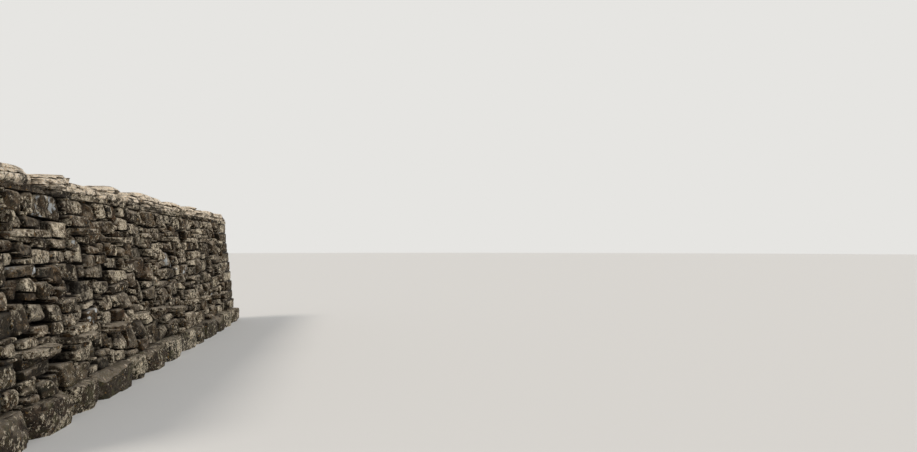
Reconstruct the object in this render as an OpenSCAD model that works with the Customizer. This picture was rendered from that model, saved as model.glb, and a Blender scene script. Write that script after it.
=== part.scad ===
// Dry stone field wall, one rood long, built without mortar.
// Two leaning skins of rubble stand on a course of footing stones, with small packing
// stones, the hearting, between them. Two rows of through stones tie the skins together,
// a thin cover band closes the top, and flat-laid cap stones weigh it down. Each end is
// a wall head of ties laid across the wall and pairs of runners laid along it.
// X runs along the wall, -Y is the front, and the wall stands on Z = 0.

/* [Wall] */
// Length of the section, one rood of seven yards
wall_length = 6400; // [5200:50:8000]
// Height from the ground to the underside of the cover band
masonry_height = 1440; // [1350:10:1700]

/* [Footings] */
// Width across the footing course
footing_width = 864; // [840:2:1000]
// Height of the footing course
footing_height = 200; // [150:5:260]
// Footing stones in each row
footing_count = 13; // [9:1:17]
// Length of the footing stones at both ends, which reach to the middle of the wall
end_footing_length = 500; // [400:5:600]

/* [Skins] */
// Width across both skins on top of the footings
base_width = 720; // [660:2:740]
// Width across both skins under the cover band
top_width = 406; // [380:2:480]
// Courses below the lower through stones
courses_low = 2; // [1:1:3]
// Courses between the two rows of through stones
courses_middle = 5; // [3:1:7]
// Courses above the upper through stones
courses_high = 2; // [1:1:3]
// Stones in each course of a skin
course_stones = 24; // [18:1:30]
// Most by which a stone stands out of a skin or back from it
face_relief = 22; // [0:1:30]
// Width of a hole where a stone of a skin has dropped out
lost_width = 150; // [100:5:220]
// Depth of such a hole
lost_depth = 95; // [60:5:110]

/* [Hearting] */
// Width of the packing between the skins below the lower through stones
hearting_lower_width = 190; // [120:5:240]
// Width of the packing between the two rows of through stones
hearting_middle_width = 130; // [80:5:180]
// Width of the packing above the upper through stones
hearting_upper_width = 80; // [40:5:120]

/* [Through stones] */
// Height of the bed that the lower through stones lie on
lower_bed = 460; // [400:5:520]
// Through stones in the lower row, between the wall heads
lower_through_count = 10; // [6:1:10]
// Height of the bed that the upper through stones lie on
upper_bed = 1160; // [1050:5:1200]
// Through stones in the upper row, between the wall heads
upper_through_count = 8; // [4:1:8]
// Thickness of a through stone
through_thickness = 45; // [35:1:70]
// Step by which a through stone may lie above or below the others in its row
through_step = 25; // [0:1:40]
// Width of the widest through stone, along the wall
through_width = 400; // [280:5:420]
// Reach of the longest through stone past the front face
through_reach_front = 100; // [40:2:100]
// Reach of the longest through stone past the back face
through_reach_back = 60; // [20:2:100]

/* [Cover band] */
// Thickness of the cover slabs
cover_thickness = 40; // [25:1:60]
// Overhang of the cover slabs past each face
cover_overhang = 22; // [5:1:45]
// Slabs in the cover band
cover_count = 13; // [9:1:17]

/* [Cap stones] */
// Height of the tallest cap stone
cap_height = 150; // [110:2:190]
// Overhang of the cap stones past each face
cap_overhang = 48; // [20:2:80]
// Gap left between neighbouring cap stones
cap_gap = 14; // [8:1:40]

/* [Wall heads] */
// Length of a tie along the wall
tie_length = 330; // [240:5:380]
// Length of a runner along the wall
runner_length = 500; // [400:5:560]

/* [Wear] */
// Depth to which the face of a stone is knocked back at its corners
corner_depth = 22; // [4:1:32]
// Reach of a knocked-off corner along the sides of a stone
corner_reach = 80; // [30:2:120]
// Height of the bumps and dips on top of a cap stone
cap_bump = 5; // [0:0.5:10]

/* [Joints] */
// Open joint between stones that stand side by side
joint_gap = 8; // [4:1:15]
// Play between a through stone and the packing over it
through_play = 0.3; // [0.2:0.1:2]

/* [Hidden] */
// Stones that have dropped out: side, course, and place along the wall, where 1 is its end
lost_stones = [[-1, 1, -0.69], [-1, 4, -0.58], [-1, 5, 0.28], [1, 3, -0.06], [1, 2, 0.66]];
// Lengths of the cap stones from the near end, shared out over the wall's length
cap_lengths = [370, 560, 570, 450, 365, 455, 700, 420, 380, 510, 340, 460, 400, 420];
cap_count = len(cap_lengths);
// Height at the middle of each cap stone, as a share of the tallest one's height
cap_height_shares =
    [0.7, 0.8, 0.74, 0.54, 0.76, 0.6, 0.9, 0.64, 0.78, 0.58, 0.84, 0.64, 0.72, 0.78];
// Rise of each cap stone's top from its middle to its far end, as a share of that height
cap_rise_shares =
    [-0.1, 0.06, 0.3, -0.2, 0.34, 0.16, -0.08, 0.24, -0.16, 0.3, -0.12, 0.2, -0.24, 0.1];
// Points round a cap stone's outline
cap_point_count = 13;
// Each cap stone's rings from its bed up, as shares of its height, its length and its width
cap_ring_shares = [
    [0, 0.97, 0.94], [0.26, 1, 1], [0.52, 0.99, 0.96], [0.8, 0.96, 0.82], [0.95, 0.9, 0.64],
    [1, 0.7, 0.34]];
// How boxy a cap stone's outline is, from 1 for an oval down to 0 for a box
cap_roundness = 0.34;
// Shares of the depth of wear by which a head stone is broken back along its flush end, at
// its face near the tail, and at its tail
head_end_share = 0.3;
head_face_share = 0.6;
head_tail_share = 1.8;
// How far a cut reaches past the stones that it trims
cut_margin = 1;

shaded_stone = "#6f675e";
packing_stone = "#5d564e";
footing_stone = "#7b746a";
through_stone = "#837a6e";
head_stone = "#776e63";
cap_stone_top = "#a89b88";

end_x = wall_length / 2;
cover_bed = masonry_height;
cap_bed = masonry_height + cover_thickness;
// The through rows keep clear of the wall heads
through_span = wall_length - 2 * (runner_length + joint_gap) - through_width - 4 * joint_gap;

// Beds of the courses, which meet the beds of both rows of through stones
function even_beds(low, high, count) = [for (i = [0:count - 1]) low + (high - low) * i / count];
course_beds = concat(
    even_beds(footing_height, lower_bed, courses_low),
    even_beds(lower_bed, upper_bed, courses_middle),
    even_beds(upper_bed, masonry_height, courses_high),
    [masonry_height]);
courses = len(course_beds) - 1;
first_middle = courses_low;
first_upper = courses_low + courses_middle;

// A repeatable value between low and high for piece i of one kind, with its own seed
function vary(low, high, i, seed) = rands(low, high, i + 1, seed)[i];

function sum_to(list, last) = last < 0 ? 0 : list[last] + sum_to(list, last - 1);

// Half the wall's width over both skins at height z, from the batter
function half_width(z) =
    let (climbed = (z - footing_height) / (masonry_height - footing_height))
    (base_width - (base_width - top_width) * climbed) / 2;

// Bounds along the wall for count stones of uneven length between two ends
function stone_bounds(low, high, count, seed) =
    let (pitch = (high - low) / count)
    [for (i = [0:count])
        i == 0 ? low : i == count ? high : low + pitch * (i + vary(-0.2, 0.2, i, seed))];

// How far one corner of a stone's face is knocked back, towards back
function corner(back, i, seed) = back * corner_depth * vary(0.25, 1, i, seed);

// Outline of a stone that runs from its flat tail at tail_y to a rough face at face_y,
// with both corners of the face knocked off
function faced_outline(low, high, tail_y, face_y, i, seed) =
    let (
        back = sign(tail_y - face_y),
        width = high - low,
        chip = min(0.7 * corner_reach, width * 0.2),
        bulge = low + width * vary(0.35, 0.65, i, seed)
    )
    [
        [low, tail_y],
        [low, face_y + back * corner_reach * vary(0.5, 1, i, seed + 1)],
        [low + chip * vary(0.4, 1, i, seed + 2), face_y + corner(back, i, seed + 3)],
        [bulge, face_y],
        [high - chip * vary(0.4, 1, i, seed + 4), face_y + corner(back, i, seed + 5)],
        [high, face_y + back * corner_reach * vary(0.5, 1, i, seed + 6)],
        [high, tail_y]
    ];

// One row of footing stones. side is -1 at the front and 1 at the back. The rows meet in
// the middle at both ends, and have the packing between them elsewhere.
module footing_row(side, seed) {
    last = footing_count - 1;
    inner = end_x - end_footing_length;
    bounds = concat([-end_x], stone_bounds(-inner, inner, footing_count - 2, seed), [end_x]);
    for (i = [0:last]) {
        low = i == 0 ? -end_x : bounds[i] + joint_gap / 2;
        high = i == last ? end_x : bounds[i + 1] - joint_gap / 2;
        tail = i == 0 || i == last ? joint_gap / 2 : hearting_lower_width / 2;
        linear_extrude(footing_height)
            polygon(faced_outline(low, high, side * tail, side * footing_width / 2, i,
                seed + 10));
    }
}

module footings_front() {
    color(footing_stone) footing_row(-1, 11);
}

module footings_back() {
    color(footing_stone) footing_row(1, 31);
}

// Places, widths and reaches of one row of through stones
function through_x(i, count, seed) =
    (i / (count - 1) - 0.5) * through_span + vary(-1, 1, i, seed) * joint_gap;
function through_w(i, seed) = through_width * vary(0.72, 1, i, seed + 1);
function through_bed(bed, i, seed) = bed + through_step * round(vary(-1.4, 1.4, i, seed + 5));
function through_end(bed, side, reach, i, seed) =
    side * (half_width(bed) + reach * vary(0.55, 1, i, seed + 3 + side));

// Outline of a through stone: a long slab with uneven sides and knocked-off ends
function through_outline(front, back, width, i, seed) =
    let (w = width / 2, chip = width * 0.16, run = back - front)
    [
        [-w + chip * vary(0.6, 1.4, i, seed), front + corner(1, i, seed + 1)],
        [w * vary(-0.3, 0.3, i, seed + 2), front],
        [w - chip * vary(0.6, 1.4, i, seed + 3), front + corner(1, i, seed + 4)],
        [w * vary(0.9, 1, i, seed + 5), front + run * 0.14],
        [w, front + run * 0.5],
        [w * vary(0.86, 1, i, seed + 6), back - run * 0.12],
        [w - chip * vary(0.8, 1.6, i, seed + 7), back],
        [-w + chip * vary(0.8, 1.6, i, seed + 8), back + corner(-1, i, seed + 9)],
        [-w * vary(0.86, 1, i, seed + 10), back - run * 0.13],
        [-w, front + run * 0.45],
        [-w * vary(0.9, 1, i, seed + 11), front + run * 0.12]
    ];

module through_row(bed, count, seed) {
    for (i = [0:count - 1])
        translate([through_x(i, count, seed), 0, through_bed(bed, i, seed)])
            linear_extrude(through_thickness)
                polygon(through_outline(
                    through_end(bed, -1, through_reach_front, i, seed),
                    through_end(bed, 1, through_reach_back, i, seed),
                    through_w(i, seed), i, seed + 20));
}

// The seats of one row of through stones, cut out of the packing and the skins over them
module through_seats(bed, count, seed) {
    for (i = [0:count - 1]) {
        width = through_w(i, seed) + 2 * joint_gap;
        translate([through_x(i, count, seed) - width / 2, -footing_width,
            through_bed(bed, i, seed)])
            cube([width, 2 * footing_width, through_thickness + through_play]);
    }
}

lower_seed = 57;
upper_seed = 91;

module lower_throughs() {
    color(through_stone) through_row(lower_bed, lower_through_count, lower_seed);
}

module upper_throughs() {
    color(through_stone) through_row(upper_bed, upper_through_count, upper_seed);
}

// Length along the wall of course k of a head, ties first
function head_length(k) = k % 2 == 0 ? tie_length : runner_length;

// What the two ends of the wall take out between two heights
module end_bays(low, high, length) {
    for (x = [-end_x - cut_margin, end_x - length])
        translate([x, -footing_width, low])
            cube([length + cut_margin, 2 * footing_width, high - low]);
}

// Walling less its through seats and what its heads and end footings take out
module lift() {
    difference() {
        children();
        through_seats(lower_bed, lower_through_count, lower_seed);
        through_seats(upper_bed, upper_through_count, upper_seed);
        end_bays(-cut_margin, footing_height, end_footing_length + joint_gap);
        for (k = [0:courses - 1])
            end_bays(course_beds[k], course_beds[k + 1], head_length(k) + joint_gap);
    }
}

// Half the wall's width at the middle of course k, where its face stones are set
function course_face(k) = half_width((course_beds[k] + course_beds[k + 1]) / 2);

// One course of a skin, from its flat back against the packing to its face of stones,
// some of which stand out and some back
module skin_course(side, k, packing_width) {
    seed = 700 + 20 * k + 3 * side;
    bounds = stone_bounds(-end_x, end_x, course_stones, seed);
    translate([0, 0, course_beds[k]])
        linear_extrude(course_beds[k + 1] - course_beds[k])
            polygon(concat(
                [[-end_x, side * packing_width / 2]],
                [for (i = [0:course_stones - 1], edge = [0, 1])
                    [bounds[i + edge],
                        side * (course_face(k) + face_relief * vary(-1, 1, i, seed + 1))]],
                [[end_x, side * packing_width / 2]]));
}

// The holes that dropped stones have left in one skin
module lost_stone_holes(side) {
    for (stone = lost_stones) {
        k = stone[1];
        back = course_face(k) - lost_depth;
        if (stone[0] == side)
            translate([stone[2] * end_x - lost_width / 2,
                side < 0 ? -footing_width : back, course_beds[k]])
                cube([lost_width, footing_width - back, course_beds[k + 1] - course_beds[k]]);
    }
}

// The courses of a skin from one to another
module skin_lift(side, first, last, packing_width) {
    difference() {
        lift()
            for (k = [first:last]) skin_course(side, k, packing_width);
        lost_stone_holes(side);
    }
}

module packing_lift(low, high, width) {
    lift()
        translate([-end_x, -width / 2, low])
            cube([wall_length, width, high - low]);
}

module lower_lift_front() {
    color(shaded_stone) skin_lift(-1, 0, first_middle - 1, hearting_lower_width);
}

module lower_lift_back() {
    color(shaded_stone) skin_lift(1, 0, first_middle - 1, hearting_lower_width);
}

module middle_lift_front() {
    color(shaded_stone) skin_lift(-1, first_middle, first_upper - 1, hearting_middle_width);
}

module middle_lift_back() {
    color(shaded_stone) skin_lift(1, first_middle, first_upper - 1, hearting_middle_width);
}

module upper_lift_front() {
    color(shaded_stone) skin_lift(-1, first_upper, courses - 1, hearting_upper_width);
}

module upper_lift_back() {
    color(shaded_stone) skin_lift(1, first_upper, courses - 1, hearting_upper_width);
}

module hearting_lower() {
    color(packing_stone) packing_lift(0, lower_bed, hearting_lower_width);
}

module hearting_middle() {
    color(packing_stone) packing_lift(lower_bed, upper_bed, hearting_middle_width);
}

module hearting_upper() {
    color(packing_stone) packing_lift(upper_bed, masonry_height, hearting_upper_width);
}

// The cover band: thin slabs laid across the wall, each with rough ends over both faces
module cover_band() {
    reach = top_width / 2 + cover_overhang;
    bounds = stone_bounds(-end_x, end_x, cover_count, 71);
    color(through_stone)
        for (i = [0:cover_count - 1]) {
            low = i == 0 ? -end_x : bounds[i] + joint_gap / 2;
            high = i == cover_count - 1 ? end_x : bounds[i + 1] - joint_gap / 2;
            front = faced_outline(low, high, 0, -reach, i, 72);
            back = faced_outline(low, high, 0, reach, i, 82);
            translate([0, 0, cover_bed])
                linear_extrude(cover_thickness)
                    polygon(concat(
                        [for (k = [1:5]) front[k]],
                        [for (k = [5:-1:1]) back[k]]));
        }
}

// Outline of a cap stone about its own middle: an oblong with broken sides
function cap_outline(length, width, i) = [
    for (k = [0:cap_point_count - 1])
        let (
            turn = 360 * (k + vary(0.2, 0.8, k, 180 + i)) / cap_point_count,
            along = sign(cos(turn)) * pow(abs(cos(turn)), cap_roundness),
            across = sign(sin(turn)) * pow(abs(sin(turn)), cap_roundness)
        )
        [
            along * length / 2 * vary(0.95, 1, k, 200 + i),
            across * width / 2 * vary(0.86, 1, k, 230 + i)
        ]
];

// A cap stone: a weathered slab on a flat bed, thicker towards one end, with its upper
// edges broken back to a rough crown
module cap_stone(i) {
    scale_up = wall_length / sum_to(cap_lengths, cap_count - 1);
    low = -end_x + scale_up * sum_to(cap_lengths, i - 1);
    length = scale_up * cap_lengths[i] - cap_gap;
    width = (top_width + 2 * cap_overhang) * vary(0.9, 1, i, 301);
    tall = cap_height * cap_height_shares[i];
    rise = tall * cap_rise_shares[i];
    outline = cap_outline(length, width, i);
    n = cap_point_count;
    rings = len(cap_ring_shares);
    body = [
        for (r = [0:rings - 1], k = [0:n - 1])
            let (
                p = [
                    outline[k][0] * cap_ring_shares[r][1],
                    outline[k][1] * cap_ring_shares[r][2]
                ],
                slope = rise * p[0] / (length / 2),
                bump = cap_bump * vary(-1, 1, r * n + k, 400 + i)
            )
            [p[0], p[1], cap_ring_shares[r][0] * (tall + slope + bump)]
    ];
    crown = [[0, 0, tall + cap_bump]];
    color(cap_stone_top)
        translate([low + (length + cap_gap) / 2, 0, cap_bed])
            polyhedron(
                points = concat(body, crown),
                faces = concat(
                    [[for (k = [0:n - 1]) k]],
                    [for (r = [0:rings - 2], k = [0:n - 1])
                        [r * n + k, (r + 1) * n + k, r * n + (k + 1) % n]],
                    [for (r = [0:rings - 2], k = [0:n - 1])
                        [(r + 1) * n + k, (r + 1) * n + (k + 1) % n, r * n + (k + 1) % n]],
                    [for (k = [0:n - 1])
                        [(rings - 1) * n + k, rings * n, (rings - 1) * n + (k + 1) % n]]));
}

// Outline of a head stone that reaches from the flush end of the wall inwards, between
// two heights across the wall, with its outer corners knocked off
function head_outline(length, front, back, i, seed) = [
    [end_x, front + corner(1, i, seed)],
    [end_x, back + corner(-1, i, seed + 1)],
    [end_x - corner(1, i, seed + 2), back + corner(-head_end_share, i, seed + 3)],
    [end_x - length * vary(0.4, 0.6, i, seed + 4), back],
    [end_x - length + corner(1, i, seed + 5), back + corner(-head_face_share, i, seed + 6)],
    [end_x - length, back + corner(-head_tail_share, i, seed + 7)],
    [end_x - length, front + corner(head_tail_share, i, seed + 8)],
    [end_x - length + corner(1, i, seed + 9), front + corner(head_face_share, i, seed + 10)],
    [end_x - length * vary(0.4, 0.6, i, seed + 11), front],
    [end_x - corner(1, i, seed + 12), front + corner(head_end_share, i, seed + 13)]
];

// The ties of one wall head: long stones laid right across the wall, one to a course
module head_ties(seed) {
    for (k = [0:2:courses - 1])
        translate([0, 0, course_beds[k]])
            linear_extrude(course_beds[k + 1] - course_beds[k])
                polygon(head_outline(tie_length, -course_face(k), course_face(k), k, seed));
}

// The runners of one wall head: a pair of stones laid along the wall, one in each skin
module head_runners(seed) {
    for (k = [1:2:courses - 1])
        translate([0, 0, course_beds[k]])
            linear_extrude(course_beds[k + 1] - course_beds[k]) {
                polygon(head_outline(runner_length, -course_face(k), -joint_gap / 2, k, seed));
                polygon(head_outline(runner_length, joint_gap / 2, course_face(k), k,
                    seed + 20));
            }
}

module near_head_ties() {
    color(head_stone) mirror([1, 0, 0]) head_ties(501);
}

module near_head_runners() {
    color(head_stone) mirror([1, 0, 0]) head_runners(531);
}

module far_head_ties() {
    color(head_stone) head_ties(601);
}

module far_head_runners() {
    color(head_stone) head_runners(631);
}

footings_front();
footings_back();
hearting_lower();
hearting_middle();
hearting_upper();
lower_lift_front();
lower_lift_back();
middle_lift_front();
middle_lift_back();
upper_lift_front();
upper_lift_back();
lower_throughs();
upper_throughs();
cover_band();
near_head_ties();
near_head_runners();
far_head_ties();
far_head_runners();
for (i = [0:cap_count - 1])
    cap_stone(i);
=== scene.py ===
import itertools
import math

import bmesh
import bpy
import numpy as np
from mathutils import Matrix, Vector
from mathutils.bvhtree import BVHTree


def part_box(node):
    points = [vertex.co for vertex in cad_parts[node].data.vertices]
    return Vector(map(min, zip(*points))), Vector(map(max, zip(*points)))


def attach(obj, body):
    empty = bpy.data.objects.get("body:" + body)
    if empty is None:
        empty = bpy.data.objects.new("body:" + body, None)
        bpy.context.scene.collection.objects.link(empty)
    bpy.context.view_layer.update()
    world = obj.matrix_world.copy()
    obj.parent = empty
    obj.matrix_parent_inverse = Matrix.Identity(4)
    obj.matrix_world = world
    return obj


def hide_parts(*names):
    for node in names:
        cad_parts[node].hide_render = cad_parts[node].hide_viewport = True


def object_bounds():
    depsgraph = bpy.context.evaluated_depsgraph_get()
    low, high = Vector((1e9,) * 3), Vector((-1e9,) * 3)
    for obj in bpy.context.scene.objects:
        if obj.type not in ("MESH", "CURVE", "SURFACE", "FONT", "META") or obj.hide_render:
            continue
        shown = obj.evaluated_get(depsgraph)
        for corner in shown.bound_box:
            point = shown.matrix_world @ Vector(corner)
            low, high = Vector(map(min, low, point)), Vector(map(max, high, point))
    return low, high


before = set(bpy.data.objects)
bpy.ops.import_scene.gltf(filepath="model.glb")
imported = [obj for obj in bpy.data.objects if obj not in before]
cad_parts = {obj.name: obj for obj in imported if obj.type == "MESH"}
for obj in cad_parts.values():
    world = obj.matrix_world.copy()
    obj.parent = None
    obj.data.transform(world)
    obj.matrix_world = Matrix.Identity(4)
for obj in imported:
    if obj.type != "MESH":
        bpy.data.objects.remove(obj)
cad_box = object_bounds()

# Studio.
# A pale level floor that runs to the horizon under a pale backdrop, soft light from high
# up behind the wall and from the front, and a camera close to the front of the wall.

# The view of a 24 mm lens on a full frame, from 1.1 m up and turned a little off the wall
picture_width = 917
focal_length_px = 611
full_frame_width = 36
eye = Vector((-6.5, -2.19, 1.1))
turn_from_wall = math.radians(9.25)
tilt_up = math.radians(1.97)


def linear(colour):
    """An sRGB hex colour as linear red, green, blue and alpha."""
    parts = [int(colour[i:i + 2], 16) / 255 for i in (1, 3, 5)]
    return [p / 12.92 if p <= 0.04045 else ((p + 0.055) / 1.055) ** 2.4 for p in parts] + [1]


def add(tree, kind, sockets=None, out=0, **settings):
    """Adds a shader node and gives its output. A socket, by name or place, takes a value
    or another node's output."""
    node = tree.nodes.new("ShaderNode" + kind)
    for name, value in settings.items():
        setattr(node, name, value)
    for name, value in (sockets or {}).items():
        if isinstance(value, bpy.types.NodeSocket):
            tree.links.new(value, node.inputs[name])
        else:
            node.inputs[name].default_value = value
    return node.outputs[out] if len(node.outputs) else None


def new_material(name):
    """An empty material and its node tree."""
    material = bpy.data.materials.new(name)
    material.use_nodes = True
    material.node_tree.nodes.clear()
    return material, material.node_tree


camera_data = bpy.data.cameras.new("front_camera")
camera_data.sensor_fit = "HORIZONTAL"
camera_data.sensor_width = full_frame_width
camera_data.lens = focal_length_px / picture_width * full_frame_width
camera_data.clip_end = 200
camera = bpy.data.objects.new("front_camera", camera_data)
bpy.context.scene.collection.objects.link(camera)
camera.location = eye
gaze = Vector((math.cos(turn_from_wall), -math.sin(turn_from_wall), math.tan(tilt_up)))
camera.rotation_euler = gaze.to_track_quat("-Z", "Y").to_euler()
bpy.context.scene.camera = camera
bpy.context.scene.view_settings.view_transform = "Standard"

# The floor is a round plate, so big that its edge is the horizon
floor_reach = 110
floor_sides = 180
turns = [2 * math.pi * k / floor_sides for k in range(floor_sides)]
rim = [(floor_reach * math.cos(turn), floor_reach * math.sin(turn), 0) for turn in turns]
floor_mesh = bpy.data.meshes.new("studio_floor")
floor_mesh.from_pydata(rim, [], [range(floor_sides)])
studio_floor = bpy.data.objects.new("studio_floor", floor_mesh)
bpy.context.scene.collection.objects.link(studio_floor)
# Matt paint, which takes the wall's soft shadow and mirrors nothing
floor_paint, tree = new_material("pale_studio_floor")
surface = add(tree, "BsdfPrincipled", {"Base Color": linear("#dadad9"), "Roughness": 0.95,
                                       "Specular IOR Level": 0.1})
add(tree, "OutputMaterial", {"Surface": surface})
floor_mesh.materials.append(floor_paint)

world = bpy.data.worlds.new("studio_sky")
bpy.context.scene.world = world
world.use_nodes = True
tree = world.node_tree
tree.nodes.clear()
# The eye sees a pale backdrop, and the light that falls on the stones from it is dimmer
seen = add(tree, "LightPath", out="Is Camera Ray")
for ray in ("Is Glossy Ray", "Is Transmission Ray"):
    seen = add(tree, "Math", {0: seen, 1: add(tree, "LightPath", out=ray)},
               operation="MAXIMUM")
soft_light = add(tree, "Background", {"Color": linear("#f2f3f4"), "Strength": 0.38})
backdrop = add(tree, "Background", {"Color": linear("#e6e5e2"), "Strength": 1})
sky = add(tree, "MixShader", {0: seen, 1: soft_light, 2: backdrop})
add(tree, "OutputWorld", {"Surface": sky})


def broad_lamp(name, towards, spread, strength, colour):
    """A broad, even lamp far away that shines in one direction."""
    data = bpy.data.lights.new(name, "SUN")
    data.angle = math.radians(spread)
    data.energy = strength
    data.color = linear(colour)[:3]
    lamp = bpy.data.objects.new(name, data)
    bpy.context.scene.collection.objects.link(lamp)
    lamp.rotation_euler = Vector(towards).to_track_quat("-Z", "Y").to_euler()


# One lamp is high up behind the wall, and a softer one stands off its front
broad_lamp("high_key", towards=(0.35, -0.75, -1), spread=18, strength=1.35, colour="#fff5e8")
broad_lamp("front_fill", towards=(0.15, 1, -0.7), spread=45, strength=1.75, colour="#faf7f3")

# Footing stones.
# The biggest, roughest blocks, laid in two rows with their length into the wall and their
# flat beds down. Grey limestone as it was gathered, blunt at the arrises and undressed.

# One seed for all the stones, so that every run lays the same wall
rng = np.random.default_rng(1841)


def grain(points, size, seed):
    """Smooth random values from -1 to 1 at points, with bumps about size metres apart."""
    # Each seed starts in another part of the same endless pattern
    spot = points / size + seed * np.array([17.13, 5.71, 11.37]) % 991
    cell = np.floor(spot).astype(np.int64)
    share = spot - cell
    share = share * share * (3 - 2 * share)
    sides = 1 - share, share
    total = np.zeros(len(points))
    for i, j, k in itertools.product((0, 1), repeat=3):
        # Large odd numbers scatter the values of the whole-number grid points
        n = ((cell + (i, j, k)) * (374761393, 668265263, 1442695041)).sum(1) & 0xFFFFFFFF
        n = ((n ^ (n >> 13)) * 1274126177) & 0xFFFFFFFF
        value = ((n ^ (n >> 16)) & 0xFFFF) / 32767.5 - 1
        total += sides[i][:, 0] * sides[j][:, 1] * sides[k][:, 2] * value
    return total


shells = {}


def shell(nx, ny, nz, plain_back=False):
    """The skin of a box as whole-number grid points and faces that look outwards. A plain
    back is one face, which is given by itself."""
    kind = nx, ny, nz, plain_back
    if kind in shells:
        return shells[kind]
    places = {}

    def at(i, j, k):
        return places.setdefault((i, j, k), len(places))

    quads = []
    for i in range(nx):
        for k in range(nz):
            quads.append((at(i, 0, k), at(i + 1, 0, k), at(i + 1, 0, k + 1), at(i, 0, k + 1)))
            if not plain_back:
                quads.append((at(i, ny, k), at(i, ny, k + 1), at(i + 1, ny, k + 1),
                              at(i + 1, ny, k)))
    for j in range(ny):
        for k in range(nz):
            quads.append((at(0, j, k), at(0, j, k + 1), at(0, j + 1, k + 1), at(0, j + 1, k)))
            quads.append((at(nx, j, k), at(nx, j + 1, k), at(nx, j + 1, k + 1),
                          at(nx, j, k + 1)))
    for i in range(nx):
        for j in range(ny):
            quads.append((at(i, j, 0), at(i, j + 1, 0), at(i + 1, j + 1, 0), at(i + 1, j, 0)))
            quads.append((at(i, j, nz), at(i + 1, j, nz), at(i + 1, j + 1, nz),
                          at(i, j + 1, nz)))
    back = ([at(0, ny, k) for k in range(nz)] + [at(i, ny, nz) for i in range(nx)]
            + [at(nx, ny, k) for k in range(nz, 0, -1)]
            + [at(i, ny, 0) for i in range(nx, 0, -1)])
    shells[kind] = (np.array(list(places)), np.array(quads),
                    np.array(back) if plain_back else None)
    return shells[kind]


def carve(skin, half, normals, offsets, rounding):
    """Draws the points of a box's skin, from -1 to 1, in to a solid bounded by planes.
    The solid is about its own middle, and its edges are rounded. Also gives the way that
    each point came and the way that the skin faces there."""
    def reach(p):
        return (p @ normals.T - offsets) / rounding

    def outside(p):
        far = reach(p)
        top = far.max(1)
        return rounding * (top + np.log(np.exp(far - top[:, None]).sum(1)))

    def last_inside(start, way, depth, halvings):
        """How far each point can go on its way and stay depth inside, as a share of it."""
        low, high = np.zeros(len(start)), np.ones(len(start))
        for _ in range(halvings):
            middle = (low + high) / 2
            inner = outside(start + way * middle[:, None]) < -depth
            low = np.where(inner, middle, low)
            high = np.where(inner, high, middle)
        return low[:, None]

    # Each point sets out from a core well inside the solid, towards a place a little past
    # the box, and stops at the first plane in its way
    inset, margin, past_box = 0.92 * half.min(), 0.3 * half.min(), 1.02
    target = skin * half
    core = np.sign(target) * np.maximum(np.abs(target) - inset, 0)
    fits = outside(core) < -margin
    core *= np.where(fits[:, None], 1, last_inside(np.zeros_like(core), core, margin, 7))
    way = target * past_box - core
    made = core + way * last_inside(core, way, 0, 14)
    far = reach(made)
    facing = np.exp(far - far.max(1)[:, None]) @ normals
    facing /= np.linalg.norm(facing, axis=1)[:, None]
    return made, way / np.linalg.norm(way, axis=1)[:, None], facing


def chip(normals, offsets, corners, count, depth, forward=False, flat_beds=0.0):
    """Adds planes that break corners and arrises off a solid, up to depth deep. forward
    ones all lie at its front, and flat_beds, from 0 to 1, keeps them off its beds."""
    n = rng.normal(size=(count, 3))
    # The power turns them from the middle of the faces towards the corners
    n /= np.abs(n).max(1)[:, None]
    n = np.sign(n) * np.abs(n) ** 0.6
    n[:, 2] *= 1 - 0.7 * flat_beds
    if forward:
        n[:, 1] = -np.abs(n[:, 1])
    n /= np.linalg.norm(n, axis=1)[:, None]
    d = (corners @ n.T).max(0) - depth * rng.uniform(0.3, 1, count)
    return np.concatenate([normals, n]), np.concatenate([offsets, d])


def solids_of(node):
    """The corners of each separate solid of a CAD node."""
    bm = bmesh.new()
    bm.from_mesh(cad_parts[node].data)
    bmesh.ops.remove_doubles(bm, verts=bm.verts, dist=1e-5)
    met = set()
    for start in bm.verts:
        if start in met:
            continue
        waiting, group = [start], []
        met.add(start)
        while waiting:
            corner = waiting.pop()
            group.append(corner)
            for edge in corner.link_edges:
                other = edge.other_vert(corner)
                if other not in met:
                    met.add(other)
                    waiting.append(other)
        yield np.array([corner.co[:] for corner in group])
    bm.free()


def hull_planes(points):
    """The planes round a set of points, as outward normals and distances, without repeats."""
    least_area, same_way, same_place = 1e-7, 0.9995, 0.0008
    bm = bmesh.new()
    for p in points:
        bm.verts.new(p)
    bmesh.ops.convex_hull(bm, input=bm.verts)
    middle = points.mean(0)
    kept = []
    for face in bm.faces:
        n = np.array(face.normal[:])
        # A face without area has no true normal
        if np.linalg.norm(n) < 0.5 or face.calc_area() < least_area:
            continue
        at = np.array(face.verts[0].co[:])
        if n @ (at - middle) < 0:
            n = -n
        d = n @ at
        if all(n @ m < same_way or abs(d - e) > same_place for m, e in kept):
            kept.append((n, d))
    bm.free()
    return np.array([n for n, d in kept]), np.array([d for n, d in kept])


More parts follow.
